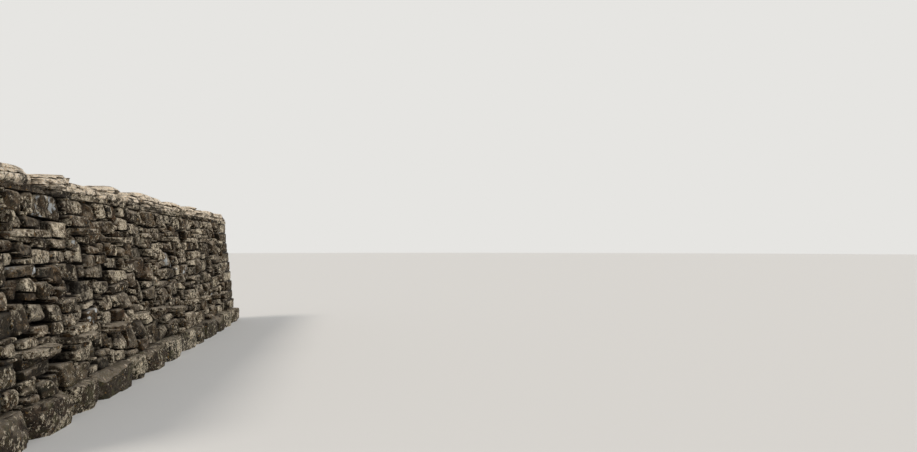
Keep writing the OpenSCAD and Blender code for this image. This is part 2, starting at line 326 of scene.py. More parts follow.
class Heap:
    """Stones gathered into one mesh. Each has a tint and a shift of its pattern of its own,
    and recess, from 0 to 1, says how much painted shade and dirt a point takes in a joint."""

    pattern_reach = 9
    crisp_arris = math.radians(34)

    def __init__(self):
        self.points, self.faces, self.backs, self.count = [], [], [], 0
        self.tint, self.shift, self.recess = [], [], []

    def lay(self, points, quads, recess=None, back=None, mirrored=False):
        """Adds a stone. The faces of a mirrored one are turned over, to look outwards."""
        self.faces.append((quads[:, ::-1] if mirrored else quads) + self.count)
        if back is not None:
            self.backs.append((back[::-1] if mirrored else back) + self.count)
        self.points.append(points)
        self.count += len(points)
        count, reach = len(points), self.pattern_reach
        self.tint.append(np.full(count, rng.random()))
        self.shift.append(np.tile(rng.uniform(-reach, reach, 3), (count, 1)))
        self.recess.append(np.zeros(len(points)) if recess is None else recess)

    def piece(self, name, material, slot, *nodes):
        """Makes one object of the stones, which stands for the CAD nodes."""
        mesh = bpy.data.meshes.new(name)
        points = np.concatenate(self.points)
        quads = np.concatenate(self.faces)
        corners = np.concatenate([quads.ravel(), *self.backs]).astype(np.int32)
        sizes = np.array([4] * len(quads) + [len(back) for back in self.backs])
        mesh.vertices.add(len(points))
        mesh.vertices.foreach_set("co", points.astype(np.float32).ravel())
        mesh.loops.add(len(corners))
        mesh.loops.foreach_set("vertex_index", corners)
        mesh.polygons.add(len(sizes))
        starts = np.concatenate([[0], np.cumsum(sizes)[:-1]]).astype(np.int32)
        mesh.polygons.foreach_set("loop_start", starts)
        mesh.update(calc_edges=True)
        mesh.validate()
        for label, kind, field, values in (
                ("tint", "FLOAT", "value", self.tint),
                ("recess", "FLOAT", "value", self.recess),
                ("shift", "FLOAT_VECTOR", "vector", self.shift)):
            layer = mesh.attributes.new(label, kind, "POINT")
            layer.data.foreach_set(field, np.concatenate(values).astype(np.float32).ravel())
        mesh.shade_smooth()
        mesh.set_sharp_from_angle(angle=self.crisp_arris)
        mesh.materials.append(material)
        made = bpy.data.objects.new(name, mesh)
        bpy.context.scene.collection.objects.link(made)
        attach(made, "root")
        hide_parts(*nodes)
        print(name, "triangles", int((sizes - 2).sum()))


def weather(points, way, facing, rough, ledges=0.0, spared=(0, 0, 0)):
    """Wears a stone's skin inwards by bumps of three sizes, rough being the deepest. ledges
    is how far some of its beds stand back behind the others at its sides, and spared the
    shares of the wear that its ends, its front and its beds are spared."""
    seed = rng.uniform(1, 900)
    worn = 0
    for k, (share, size) in enumerate(((1, 0.11), (0.5, 0.042), (0.25, 0.02))):
        worn = worn + share * rough * (0.5 + 0.5 * grain(points, size, seed + k))
    if ledges:
        # The beds are level and about 30 mm thick
        beds = grain(points * (1, 1, 5), 0.16, seed + 3) + 0.3 * grain(points, 0.09, seed + 4)
        side = np.clip(1.3 - 1.3 * np.abs(facing[:, 2]), 0, 1)
        worn += ledges * side * np.clip(4 * beds, 0, 1)
    worn *= 1 - facing ** 2 @ np.array(spared)
    return points - way * worn[:, None]


def box_skin(half, spacing, fewest):
    """The skin of a box about its middle, from -1 to 1, and its faces. Its points are about
    spacing metres apart, with at least the fewest steps along each side."""
    counts = [max(fewest, int(round(2 * h / spacing))) for h in half]
    skin, quads, _ = shell(*counts)
    return skin / np.array(counts) * 2 - 1, quads


def stone_from(points, spacing, rounding, rough, chip_count, chip_depth, ledges=0.0,
               flat_beds=0.0, level_bed=False, shade_and_dirt=0.0):
    """A weathered stone inside the solid with the given corners. Its last argument, from 0 to
    1, is how dark the painted shade and dirt are in its bed joints."""
    low, high = points.min(0), points.max(0)
    middle, half = (low + high) / 2, (high - low) / 2
    normals, offsets = hull_planes(points)
    normals, offsets = chip(normals, offsets - normals @ middle, points - middle, chip_count,
                            chip_depth, flat_beds=flat_beds)
    skin, quads = box_skin(half, spacing, fewest=3)
    made, way, facing = carve(skin, half, normals, offsets, rounding)
    made = weather(made, way, facing, rough, ledges, (0, 0, flat_beds)) + middle
    if level_bed:
        # The whole of its worn underside comes down to the floor
        made[made[:, 2] < low[2] + 1.2 * rough + rounding, 2] = low[2]
    # Painted shade and dirt lie where the skin faces up or down, in the bed joints
    return made, quads, shade_and_dirt * np.clip(2.5 * np.abs(facing[:, 2]) - 0.4, 0, 1)


# A node that mixes colours takes this setting and gives them at its third output
of_colours = {"data_type": "RGBA", "out": 2}


def limestone(name, dark, middle, light, lichen, moss, bleach_and_sunlight, bedding, sunlit=0.0,
              broken=0.0, cracked=0.0):
    """Weathered limestone, gathered and split but not dressed: rough and matt, mottled
    grey and brown, with ragged crusts of pale lichen and the odd ochre or fresh spot. Its
    upper sides are bleached and also painted lighter as sunlit, and it has painted shade
    and dirt deep in the joints. lichen, moss, bleach, bedding, broken and cracked are shares
    from 0 to 1: broken is for fresh breaks, and cracked for open cracks. sunlit brings the
    bleaching and painted sunlight down the sides."""
    material, tree = new_material(name)
    place = add(tree, "NewGeometry", out="Position")
    upward = add(tree, "SeparateXYZ", {0: add(tree, "NewGeometry", out="Normal")}, out=2)
    height = add(tree, "SeparateXYZ", {0: place}, out=2)
    shift = add(tree, "Attribute", out="Vector", attribute_name="shift")
    tint = add(tree, "Attribute", out="Fac", attribute_name="tint")
    recess = add(tree, "Attribute", out="Fac", attribute_name="recess")
    own = add(tree, "VectorMath", {0: place, 1: shift}, operation="ADD")
    # Mottling about 70 mm across, and paler patches of about 45 mm on it
    mottle = add(tree, "TexNoise", {"Vector": own, "Scale": 1 / 0.07, "Detail": 6,
                                    "Roughness": 0.68})
    share = add(tree, "MapRange", {0: mottle, 1: 0.38, 2: 0.62})
    body = add(tree, "Mix", {0: share, 6: linear(dark), 7: linear(middle)}, **of_colours)
    patches = add(tree, "TexNoise", {"Vector": own, "Scale": 1 / 0.045, "Detail": 6,
                                     "Roughness": 0.72})
    share = add(tree, "MapRange", {0: patches, 1: 0.5, 2: 0.66, 4: 0.85})
    body = add(tree, "Mix", {0: share, 6: body, 7: linear(light)}, **of_colours)
    # Grey-green algae in the hollows of the mottling
    share = add(tree, "MapRange", {0: patches, 1: 0.45, 2: 0.34, 4: 0.5})
    body = add(tree, "Mix", {0: share, 6: body, 7: linear("#353a30")}, **of_colours)
    # Grain of 10 mm, coarser than the real 1 mm so that it shows
    speckle = add(tree, "TexNoise", {"Vector": own, "Scale": 1 / 0.01, "Detail": 4,
                                     "Roughness": 0.75})
    share = add(tree, "MapRange", {0: speckle, 1: 0.38, 2: 0.62, 3: 0.22, 4: 1.78})
    # No two stones are the same grey: some are browner, some bluer, some much darker
    own_value = add(tree, "MapRange", {0: tint, 3: 0.43, 4: 1.05})
    share = add(tree, "Math", {0: share, 1: own_value}, operation="MULTIPLY")
    own_warmth = add(tree, "TexWhiteNoise", {"Vector": shift}, noise_dimensions="3D")
    hue = add(tree, "MapRange", {0: own_warmth, 3: 0.485, 4: 0.512})
    richness = add(tree, "MapRange", {0: own_warmth, 3: 1.6, 4: 0.9})
    body = add(tree, "HueSaturation", {"Hue": hue, "Saturation": richness, "Value": share,
                                       "Color": body})
    # Beds of the rock about 13 mm thick, as fine lines along a slab's broken sides
    layered = add(tree, "VectorMath", {0: own, 1: (0.09, 0.09, 1)}, operation="MULTIPLY")
    beds = add(tree, "TexNoise", {"Vector": layered, "Scale": 1 / 0.013, "Detail": 3,
                                  "Roughness": 0.6})
    sides = add(tree, "MapRange", {0: upward, 1: 0.75, 2: 0.35, 4: bedding})
    share = add(tree, "MapRange", {0: beds, 1: 0.5, 2: 0.36})
    share = add(tree, "Math", {0: share, 1: sides}, operation="MULTIPLY")
    body = add(tree, "Mix", {0: share, 6: body, 7: linear("#2b251f")}, **of_colours)
    # Lichen in ragged crusts 10 to 40 mm across, a little drawn down the face by the rain.
    # Some stones are nearly covered and some are bare
    drawn = add(tree, "VectorMath", {0: own, 1: (1, 1, 0.85)}, operation="MULTIPLY")
    crust = add(tree, "TexNoise", {"Vector": drawn, "Scale": 1 / 0.026, "Detail": 6,
                                   "Roughness": 0.78, "Distortion": 0.15})
    own_crust = add(tree, "TexWhiteNoise", {"W": tint}, noise_dimensions="1D")
    own_crust = add(tree, "MapRange", {0: own_crust, 3: -0.1, 4: 0.07})
    cover = add(tree, "Math", {0: crust, 1: own_crust}, operation="ADD")
    wide = add(tree, "TexNoise", {"Vector": own, "Scale": 1 / 0.15, "Detail": 2,
                                  "Roughness": 0.45})
    uneven = add(tree, "MapRange", {0: wide, 1: 0.3, 2: 0.7, 3: -0.07, 4: 0.06})
    cover = add(tree, "Math", {0: cover, 1: uneven}, operation="ADD")
    share = add(tree, "MapRange", {0: cover, 1: 0.62 - 0.12 * lichen, 2: 0.645 - 0.12 * lichen,
                                   4: 0.95})
    tone = add(tree, "TexNoise", {"Vector": own, "Scale": 1 / 0.012, "Detail": 3,
                                  "Roughness": 0.7})
    tone = add(tree, "MapRange", {0: tone, 1: 0.39, 2: 0.59})
    pale = add(tree, "Mix", {0: tone, 6: linear("#6b5c44"), 7: linear("#fff0d3")}, **of_colours)
    cooler = add(tree, "MapRange", {0: patches, 1: 0.42, 2: 0.56, 4: 0.18})
    pale = add(tree, "Mix", {0: cooler, 6: pale, 7: linear("#aeb1ae")}, **of_colours)
    body = add(tree, "Mix", {0: share, 6: body, 7: pale}, **of_colours)
    # Round white lichen, up to 30 mm across, in about two of every five cells of 60 mm
    ragged = add(tree, "VectorMath", {0: crust.node.outputs["Color"], 1: (0.02, 0.02, 0.02)},
                 operation="MULTIPLY")
    ragged = add(tree, "VectorMath", {0: own, 1: ragged}, operation="ADD")
    discs = add(tree, "TexVoronoi", {"Vector": ragged, "Scale": 1 / 0.06}, out="Distance")
    size = add(tree, "MapRange", {0: discs.node.outputs["Color"], 1: 0.57, 2: 0.9, 4: 0.27})
    share = add(tree, "Math", {0: size, 1: discs}, operation="SUBTRACT")
    share = add(tree, "MapRange", {0: share, 1: 0.0, 2: 0.05, 4: 1.05 * lichen})
    body = add(tree, "Mix", {0: share, 6: body, 7: linear("#dccfba")}, **of_colours)
    # Ochre lichen in small spots
    spots = add(tree, "TexNoise", {"Vector": own, "Scale": 1 / 0.022, "Detail": 2,
                                   "Roughness": 0.5})
    share = add(tree, "MapRange", {0: spots, 1: 0.67, 2: 0.72, 4: 0.6})
    body = add(tree, "Mix", {0: share, 6: body, 7: linear("#a27a3e")}, **of_colours)
    # Fresh blue-white breaks, on about one stone in forty
    fresh = add(tree, "MapRange", {0: tint, 1: 0.974, 2: 0.977, 4: 0.205})
    patchy = add(tree, "Math", {0: mottle, 1: wide}, operation="ADD")
    breaks = add(tree, "Math", {0: patchy, 1: 0.5, 2: fresh}, operation="MULTIPLY_ADD")
    share = add(tree, "MapRange", {0: breaks, 1: 0.735, 2: 0.755, 4: 0.9 * broken})
    body = add(tree, "Mix", {0: share, 6: body, 7: linear("#d3d9dc")}, **of_colours)
    # Upper sides bleached by the weather and painted lighter as sunlit, in patches, with grey
    # and black lichen between
    bleached_and_sunlit = add(tree, "MapRange", {0: upward, 1: 0.12 - 0.8 * sunlit, 2: 0.55 - 0.55 * sunlit,
                                    4: bleach_and_sunlight})
    patchy = add(tree, "MapRange", {0: patchy, 1: 0.83, 2: 0.9, 3: 0.08})
    share = add(tree, "Math", {0: bleached_and_sunlit, 1: patchy}, operation="MULTIPLY")
    flecks = add(tree, "MapRange", {0: speckle, 1: 0.36, 2: 0.5, 3: 0.6})
    share = add(tree, "Math", {0: share, 1: flecks}, operation="MULTIPLY")
    tops = add(tree, "Mix", {0: tone, 6: linear("#ecd3b2"), 7: linear("#fff4e2")}, **of_colours)
    body = add(tree, "Mix", {0: share, 6: body, 7: tops}, **of_colours)
    # Cracks that frost and rain have opened, about 90 mm apart and never in a full net
    bent = add(tree, "VectorMath", {0: mottle.node.outputs["Color"], 1: (0.12, 0.12, 0.12)},
               operation="MULTIPLY")
    bent = add(tree, "VectorMath", {0: own, 1: bent}, operation="ADD")
    cracks = add(tree, "TexVoronoi", {"Vector": bent, "Scale": 1 / 0.09},
                 feature="DISTANCE_TO_EDGE")
    share = add(tree, "MapRange", {0: cracks, 1: 0.075, 2: 0.015, 4: cracked})
    open_part = add(tree, "MapRange", {0: patches, 1: 0.56, 2: 0.46})
    cracks = add(tree, "Math", {0: share, 1: open_part}, operation="MULTIPLY")
    body = add(tree, "Mix", {0: cracks, 6: body, 7: linear("#2b231c")}, **of_colours)
    # A green bloom low down, where the stone stays damp
    damp = add(tree, "MapRange", {0: height, 1: 0.8, 2: 0.05, 4: moss})
    share = add(tree, "MapRange", {0: mottle, 1: 0.5, 2: 0.62})
    share = add(tree, "Math", {0: share, 1: damp}, operation="MULTIPLY")
    body = add(tree, "Mix", {0: share, 6: body, 7: linear("#46472a")}, **of_colours)
    # Painted shade, and some dirt, deep in the joints
    share = add(tree, "MapRange", {0: recess, 1: 0.05, 2: 0.8, 4: 0.9})
    body = add(tree, "Mix", {0: share, 6: body, 7: linear("#1b1713")}, **of_colours)
    # Relief: lumps of 35 mm with ever finer ones on them, the beds and the cracks
    lumps = add(tree, "TexNoise", {"Vector": own, "Scale": 1 / 0.035, "Detail": 8,
                                   "Roughness": 0.76})
    relief = add(tree, "Math", {0: beds, 1: 0.35 * bedding}, operation="MULTIPLY")
    relief = add(tree, "Math", {0: lumps, 1: relief}, operation="ADD")
    relief = add(tree, "Math", {0: relief, 1: cracks}, operation="SUBTRACT")
    bump = add(tree, "Bump", {"Strength": 1, "Distance": 0.027, "Height": relief})
    surface = add(tree, "BsdfPrincipled", {"Base Color": body, "Roughness": 0.92,
                                           "Specular IOR Level": 0.25, "Normal": bump})
    add(tree, "OutputMaterial", {"Surface": surface})
    return material


# The stone's own grey and brown, written darker than the stone is as painted shade of the
# wall's shaded faces
footing_limestone = limestone("footing_limestone", "#241e18", "#473e33", "#71665a",
                              lichen=0.7, moss=0.5, bleach_and_sunlight=0.2, bedding=0.3)
for side in ("front", "back"):
    heap = Heap()
    for corners in solids_of("footings_" + side):
        heap.lay(*stone_from(corners, spacing=0.02, rounding=0.002, rough=0.014,
                             chip_count=14, chip_depth=0.06, level_bed=True))
    heap.piece("footing_stones_" + side, footing_limestone, "footing_stone",
               "footings_" + side)

# Skins of rubble.
# Two leaning faces of gathered limestone, laid dry with the long side of each stone into
# the wall, crossing the joints below and pinned with slivers. No two stones are alike.

lift_names = ("lower_lift", "middle_lift", "upper_lift")
wall_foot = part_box("lower_lift_front")[0][2]
wall_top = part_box("upper_lift_front")[1][2]
# The faces lean as the ties of a head do, each set to the batter at its middle height
head_ties = sorted(solids_of("near_head_ties"), key=lambda c: c[:, 2].min())
(low_middle, low_half), (high_middle, high_half) = [
    ((tie[:, 2].min() + tie[:, 2].max()) / 2, tie[:, 1].max())
    for tie in (head_ties[0], head_ties[-1])]
batter = (low_half - high_half) / (high_middle - low_middle)
end_x = cad_box[1][0]
# The most that a stone's side stands back from the line between it and its neighbour
joint = 0.014
# Stones get thinner towards the top. Most are near the usual height and a few far from it
usual_height, thinner_at_top = 0.122, 0.026
height_steps, height_odds = (0.45, 0.75, 1, 1.3, 1.75), (0.13, 0.24, 0.31, 0.23, 0.09)
lengths, length_odds = (0.11, 0.16, 0.22, 0.3, 0.42), (0.24, 0.34, 0.26, 0.12, 0.04)
least_length, least_height, highest_last = 0.09, 0.06, 0.16
# How near an upright joint may end above another, and how far off it is set instead
too_near, lap = 0.04, 0.045
# A top this near a neighbour's, and this far above its own bed, is laid level with it, as
# long as the bed is short
near_level, least_rise, longest_bed = 0.03, 0.045, 0.28
smallest_stone = 0.0003
thinnest_sliver = 0.012


def face_at(z):
    """Half the wall's width at height z."""
    return low_half - batter * (z - low_middle)


def clip(polygon, n, d):
    """The part of a convex polygon with n . p up to d."""
    out = []
    for a, b in zip(polygon, polygon[1:] + polygon[:1]):
        da = n[0] * a[0] + n[1] * a[1] - d
        db = n[0] * b[0] + n[1] * b[1] - d
        if da <= 0:
            out.append(a)
        if da * db < 0:
            t = da / (da - db)
            out.append((a[0] + t * (b[0] - a[0]), a[1] + t * (b[1] - a[1])))
    return out


def area_of(polygon):
    """The area of a polygon, which is negative where it runs clockwise."""
    return sum(a[0] * b[1] - b[0] * a[1]
               for a, b in zip(polygon, polygon[1:] + polygon[:1])) / 2


def less_box(polygon, box):
    """A convex polygon less an upright box, as convex parts."""
    x0, x1, z0, z1 = box
    xs = [p[0] for p in polygon]
    zs = [p[1] for p in polygon]
    if max(xs) <= x0 or min(xs) >= x1 or max(zs) <= z0 or min(zs) >= z1:
        return [polygon]
    parts = []
    rest = polygon
    for n, d in (((1, 0), x0), ((-1, 0), -x1), ((0, 1), z0), ((0, -1), -z1)):
        part = clip(rest, n, d)
        if len(part) > 2:
            parts.append(part)
        rest = clip(rest, (-n[0], -n[1]), -d)
        if len(rest) < 3:
            break
    return parts


def lay_face():
    """Lays the stones of one face one by one, each on the lowest stretch built so far, as a
    waller does. Gives the joints as place, lower and upper end, the beds as height, near
    and far end, and each stone as its left and right joint and the beds under and over."""
    joints = [[-end_x, wall_foot, wall_top], [end_x, wall_foot, wall_top]]
    beds = [[wall_foot, -end_x, end_x], [wall_top, -end_x, end_x]]
    # Where upright joints end at each bed from below
    ended = [[], []]
    stones = []
    # The stretches of open bed: near and far end, bed, and the joints at its two ends
    runs = [(-end_x, end_x, 0, 0, 1)]
    while len(runs) > 1 or runs[0][2] != 1:
        k = min(range(len(runs)), key=lambda i: beds[runs[i][2]][0])
        x0, x1, under, left, right = runs[k]
        z = beds[under][0]
        rest = wall_top - z
        built = 1 - rest / (wall_top - wall_foot)
        tall = (usual_height - thinner_at_top * built) * rng.uniform(0.93, 1.07)
        tall *= rng.choice(height_steps, p=height_odds)
        long = rng.uniform(0.85, 1.15) * rng.choice(lengths, p=length_odds)
        long = max(long, 1.1 * tall)
        from_left = rng.random() < 0.5
        end = x0 + long if from_left else x1 - long
        # No upright joint runs on through the bed below
        for mark in ended[under]:
            if abs(end - mark) < too_near:
                end = mark + math.copysign(lap, end - mark)
        if (x1 - end if from_left else end - x0) < least_length:
            low, high = x0, x1
        else:
            low, high = (x0, end) if from_left else (end, x1)
        tall = min(tall, 1.4 * (high - low))
        if rest < highest_last:
            tall = rest
        elif rest - tall < least_height:
            tall = rest / 2
        over = 1 if tall == rest else None
        if over is None:
            beside = [runs[k + step][2] for step, touches in ((-1, low == x0), (1, high == x1))
                      if touches and 0 <= k + step < len(runs)]
            close = [bed for bed in beside if abs(beds[bed][0] - z - tall) < near_level
                     and beds[bed][0] - z > least_rise
                     and beds[bed][2] - beds[bed][1] < longest_bed]
            if close:
                over = close[0]
                tall = beds[over][0] - z
        if over is None:
            over = len(beds)
            beds.append([z + tall, low, high])
            ended.append([])
        sides = []
        for x, ready in ((low, left if low == x0 else None),
                         (high, right if high == x1 else None)):
            if ready is None:
                ready = len(joints)
                joints.append([x, z, z + tall])
            joints[ready][2] = max(joints[ready][2], z + tall)
            sides.append(ready)
        beds[over][1] = min(beds[over][1], low)
        beds[over][2] = max(beds[over][2], high)
        stones.append((*sides, under, over))
        # The stone takes its part of the stretch, and stretches at one level run together
        laid = [(x0, low, under, left, sides[0]), (low, high, over, *sides),
                (high, x1, under, sides[1], right)]
        runs[k:k + 1] = [run for run in laid if run[1] > run[0]]
        k = 0
        while k < len(runs) - 1:
            a, b = runs[k], runs[k + 1]
            if a[2] == b[2]:
                ended[a[2]].append(a[1])
                runs[k:k + 2] = [(a[0], b[1], a[2], a[3], b[4])]
            else:
                k += 1
    return joints, beds, stones


def rubble_pattern(obstacles):
    """Outlines of the stones of one face, and of the slivers pinned into their corners.
    Joints and beds lean and wander, and stones are trimmed to what stands in the wall."""
    joints, beds, stones = lay_face()

    def slopes(lines, spread, most):
        """How steeply each line lies off true, by no more than most metres from end to end.
        The wall's own edges, the first two of the lines, stay true."""
        return [np.clip(rng.normal(0, spread), -most / (end - start), most / (end - start))
                * (k > 1) for k, (_, start, end) in enumerate(lines)]

    lean = slopes(joints, spread=0.28, most=0.06)
    fall = slopes(beds, spread=0.1, most=0.036)
    # Beds also wander up and down, but not near the wall's foot and top
    wander, wander_size, calm = 0.018, 0.6, 0.15

    def crossing(upright, level):
        """Where a joint and a bed cross."""
        x, foot, top = joints[upright]
        z, near, far = beds[level]
        away = z - fall[level] * (near + far) / 2 - (foot + top) / 2
        x = (x + lean[upright] * away) / (1 - lean[upright] * fall[level])
        z += fall[level] * (x - (near + far) / 2)
        free = min(1, (z - wall_foot) / calm, (wall_top - z) / calm)
        drift = grain(np.array([[x, 0, z]]), wander_size, seed=5)[0]
        return np.array([x, z + wander * free * drift])

    outlines, corners = [], {}
    for k, (left, right, under, over) in enumerate(stones):
        around = [(left, under), (right, under), (right, over), (left, over)]
        outlines.append([[crossing(*c)] for c in around])
        for i, corner in enumerate(around):
            corners.setdefault(corner, []).append((k, i))
    # Where the corners of two stones meet, one in two is cut back for a sliver
    pins = []
    for pair in corners.values():
        if len(pair) != 2 or rng.random() > 0.5:
            continue
        (k, i), (_, j) = pair
        spot = outlines[k][i][0]
        # Stones side by side share the upright joint that ends here, and others the bed
        side_by_side = {i, j} in ({0, 1}, {2, 3})
        reach, most = rng.uniform(0.02, 0.05), 0.35
        feet, tips = [], []
        for stone, at in pair:
            whole = [c[0] for c in outlines[stone]]
            upright = whole[(3, 2, 1, 0)[at]] - spot
            level = whole[(1, 0, 3, 2)[at]] - spot
            along, across = (upright, level) if side_by_side else (level, upright)
            far = np.linalg.norm(along), np.linalg.norm(across)
            tip = spot + along / far[0] * min(reach, most * far[0])
            foot = spot + across / far[1] * min(rng.uniform(0.014, 0.036), most * far[1])
            # An outline comes to corners 0 and 2 along an upright edge, to 1 and 3 along a bed
            cut = [tip, foot] if side_by_side == (at % 2 == 0) else [foot, tip]
            feet.append(foot)
            tips.append(tip)
            outlines[stone][at] = outlines[stone][at][:1] + cut
        pin = [*feet, tips[0]]
        pins.append(pin if area_of(pin) > 0 else pin[::-1])
    shapes = [[tuple(p) for c in outline for p in (c[1:3] if len(c) > 1 else c)]
              for outline in outlines]
    shapes += [[tuple(p) for p in pin] for pin in pins]
    for box in obstacles:
        shapes = [part for shape in shapes for part in less_box(shape, box)]
    return [shape for shape in shapes if area_of(shape) > smallest_stone]


def tidy_outline(polygon, closest=0.006):
    """Drops corners that lie very close together."""
    kept = []
    for p in polygon:
        if not kept or math.dist(p, kept[-1]) > closest:
            kept.append(p)
    if len(kept) > 1 and math.dist(kept[0], kept[-1]) <= closest:
        kept.pop()
    return kept


def face_stone(polygon, proud, tail):
    """A stone of the face in its own frame: x along the wall, y into it from the face's
    plane, z up. proud is how far it stands out, and tail how deep it reaches in."""
    outline = np.array(polygon)
    low, high = outline.min(0), outline.max(0)
    middle = np.array([(low[0] + high[0]) / 2, (tail - proud) / 2, (low[1] + high[1]) / 2])
    half = np.array([(high[0] - low[0]) / 2, (tail + proud) / 2, (high[1] - low[1]) / 2])
    small = min(half[0], half[2])
    # The sides stand back from the joints, and run together a little towards the tail
    normals, offsets = [], []
    for a, b in zip(outline, np.roll(outline, -1, 0)):
        edge = b - a
        n = np.array([edge[1], 0, -edge[0]]) / np.linalg.norm(edge)
        n[1] = rng.uniform(0.02, 0.1)
        n /= np.linalg.norm(n)
        normals.append(n)
        offsets.append(n @ (np.array([a[0], -proud, a[1]]) - middle)
                       - min(joint, 0.3 * small) * rng.random() ** 2)
    # The face is a little out of true with the wall's
    face = np.array([rng.normal(0, 0.11), -1, rng.normal(0, 0.12)])
    normals.append(face / np.linalg.norm(face))
    offsets.append(half[1] - 0.2 * small * rng.random())
    # Breaks across the face and along its arrises
    for _ in range(rng.integers(3, 6)):
        lean = rng.uniform(0, 2 * math.pi)
        steep = rng.uniform(0.25, 1.1)
        n = np.array([steep * math.cos(lean), -1, steep * math.sin(lean)])
        n /= np.linalg.norm(n)
        rim = np.array([np.sign(n[0]) * half[0], -half[1], np.sign(n[2]) * half[2]])
        normals.append(n)
        offsets.append(n @ rim - small * rng.uniform(0.2, 0.7) * (1.25 - 0.6 * steep))
    normals.append(np.array([0.0, 1.0, 0.0]))
    offsets.append(half[1])
    ends = np.array([[x - middle[0], y, z - middle[2]] for x, z in outline
                     for y in (-half[1], half[1])])
    normals, offsets = chip(normals, offsets, ends, count=6, depth=0.5 * small, forward=True)
    spacing = 0.015
    nx = int(np.clip(round(2 * half[0] / spacing), 4, 30))
    nz = int(np.clip(round(2 * half[2] / spacing), 4, 16))
    # Rings of points lie close together near the face, where they show
    rings = np.array([0, 0.009, 0.022, 0.055, 2 * half[1]]) / (2 * half[1])
    skin, quads, back = shell(nx, len(rings) - 1, nz, plain_back=True)
    skin = np.stack([skin[:, 0] / nx * 2 - 1, rings[skin[:, 1]] * 2 - 1,
                     skin[:, 2] / nz * 2 - 1], 1)
    made, way, _ = carve(skin, half, normals, offsets, rounding=0.0028)
    made = weather(made, way, way, min(0.012, 0.2 * small), spared=(0.6, 0, 0.7)) + middle
    # Painted shade darkens it from 14 mm behind the wall's face, and fully so 70 mm further in
    shaded_from, shaded_over = 0.014, 0.07
    return made, quads, np.clip((made[:, 1] - shaded_from) / shaded_over, 0, 1), back


# The stone's own grey and brown, written darker than the stone is as painted shade of the
# wall's shaded faces
rubble_limestone = limestone("rubble_limestone", "#201a13", "#463b2d", "#766654",
                             lichen=0.75, moss=0.25, bleach_and_sunlight=0.3, bedding=0.15, broken=1)
head_boxes = [(c.min(0), c.max(0)) for end in ("near", "far")
              for kind in ("ties", "runners") for c in solids_of(f"{end}_head_{kind}")]
through_boxes = [(c[:, 0].min(), c[:, 0].max(), c[:, 2].min(), c[:, 2].max())
                 for row in ("lower", "upper") for c in solids_of(row + "_throughs")]
packing_half = [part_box("hearting_" + part)[1][1] for part in ("lower", "middle", "upper")]
# A head stone shows in a face where it reaches this far from the wall's middle, and no
# rubble is laid from there to a place well past the wall's end
shows_from, past_end = 0.1, 9
# A depth beyond these isn't that of the face, and the stone is then level with the face
deepest, proudest = -0.12, 0.05
clear_of_packing = 0.002
for side, outward in (("front", -1), ("back", 1)):
    obstacles = list(through_boxes)
    for low, high in head_boxes:
        if max(outward * low[1], outward * high[1]) > shows_from:
            past = (-past_end, high[0]) if low[0] < 0 else (low[0], past_end)
            obstacles.append((*past, low[2], high[2]))
    heaps = [Heap() for _ in lift_names]
    lift_tops = [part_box(f"{lift}_{side}")[1][2] for lift in lift_names]
    outlines = rubble_pattern(obstacles)
    solids = [BVHTree.FromPolygons([v.co for v in node.data.vertices],
                                   [face.vertices for face in node.data.polygons])
              for node in (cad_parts[f"{lift}_{side}"] for lift in lift_names)]
    for polygon in map(tidy_outline, outlines):
        if len(polygon) < 3:
            continue
        low, high = np.min(polygon, axis=0), np.max(polygon, axis=0)
        if min(high - low) < thinnest_sliver:
            continue
        x, z = np.mean(polygon, axis=0)
        which = next(i for i, top in enumerate(lift_tops) if z <= top + 1e-6)
        # A stone stands out or back as the solid wall does at its middle
        found = solids[which].ray_cast((x, outward, z), (0, -outward, 0))[0]
        proud = outward * found.y - face_at(z) if found else 0
        if not deepest < proud < proudest:
            proud = 0
        proud += rng.normal(0, 0.008)
        tail = face_at(high[1]) - packing_half[which] - clear_of_packing
        points, quads, recess, back = face_stone(polygon, proud, tail)
        points[:, 1] = outward * (face_at(points[:, 2]) - points[:, 1])
        heaps[which].lay(points, quads, recess, back, mirrored=outward > 0)
    for lift, heap in zip(lift_names, heaps):
        heap.piece(f"{lift}_stones_{side}", rubble_limestone, "skin_stone", f"{lift}_{side}")

# Hearting.
# Fist-sized broken stone packed by hand between the skins. It shows only as darkness at
# the back of the open joints, so the imported solids stay and take a dark broken finish
# that is painted shade, near black.

packing_painted_shade, tree = new_material("packed_limestone_painted_shade")
place = add(tree, "NewGeometry", out="Position")
# Broken pieces about 60 mm across, with painted shade as black gaps between them
lumps = add(tree, "TexVoronoi", {"Vector": place, "Scale": 1 / 0.06}, out="Distance")
tone = add(tree, "Mix", {0: lumps, 6: linear("#3d362f"), 7: linear("#0f0c0a")}, **of_colours)
bump = add(tree, "Bump", {"Strength": 1, "Distance": 0.03, "Height": lumps}, invert=True)
surface = add(tree, "BsdfPrincipled", {"Base Color": tone, "Roughness": 0.95,
                                       "Normal": bump})
add(tree, "OutputMaterial", {"Surface": surface})
for part in ("lower", "middle", "upper"):
    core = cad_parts["hearting_" + part].data
    core.materials.clear()
    core.materials.append(packing_painted_shade)

# Through stones.
# Long flat slabs laid right across the wall in two rows. They tie the skins together,
# and their rough ends stand out of both faces like small shelves.

# The stone's own grey and brown, written darker than the stone is as painted shade of the
# wall's shaded faces
slab_limestone = limestone("slab_limestone", "#2c251e", "#554a3c", "#857866",
                           lichen=0.75, moss=0.25, bleach_and_sunlight=0.4, bedding=0.6)


def block(xs, ys, zs):
    """The corners of a box between the given places along x, y and z."""
    return np.array([(x, y, z) for x in xs for y in ys for z in zs])


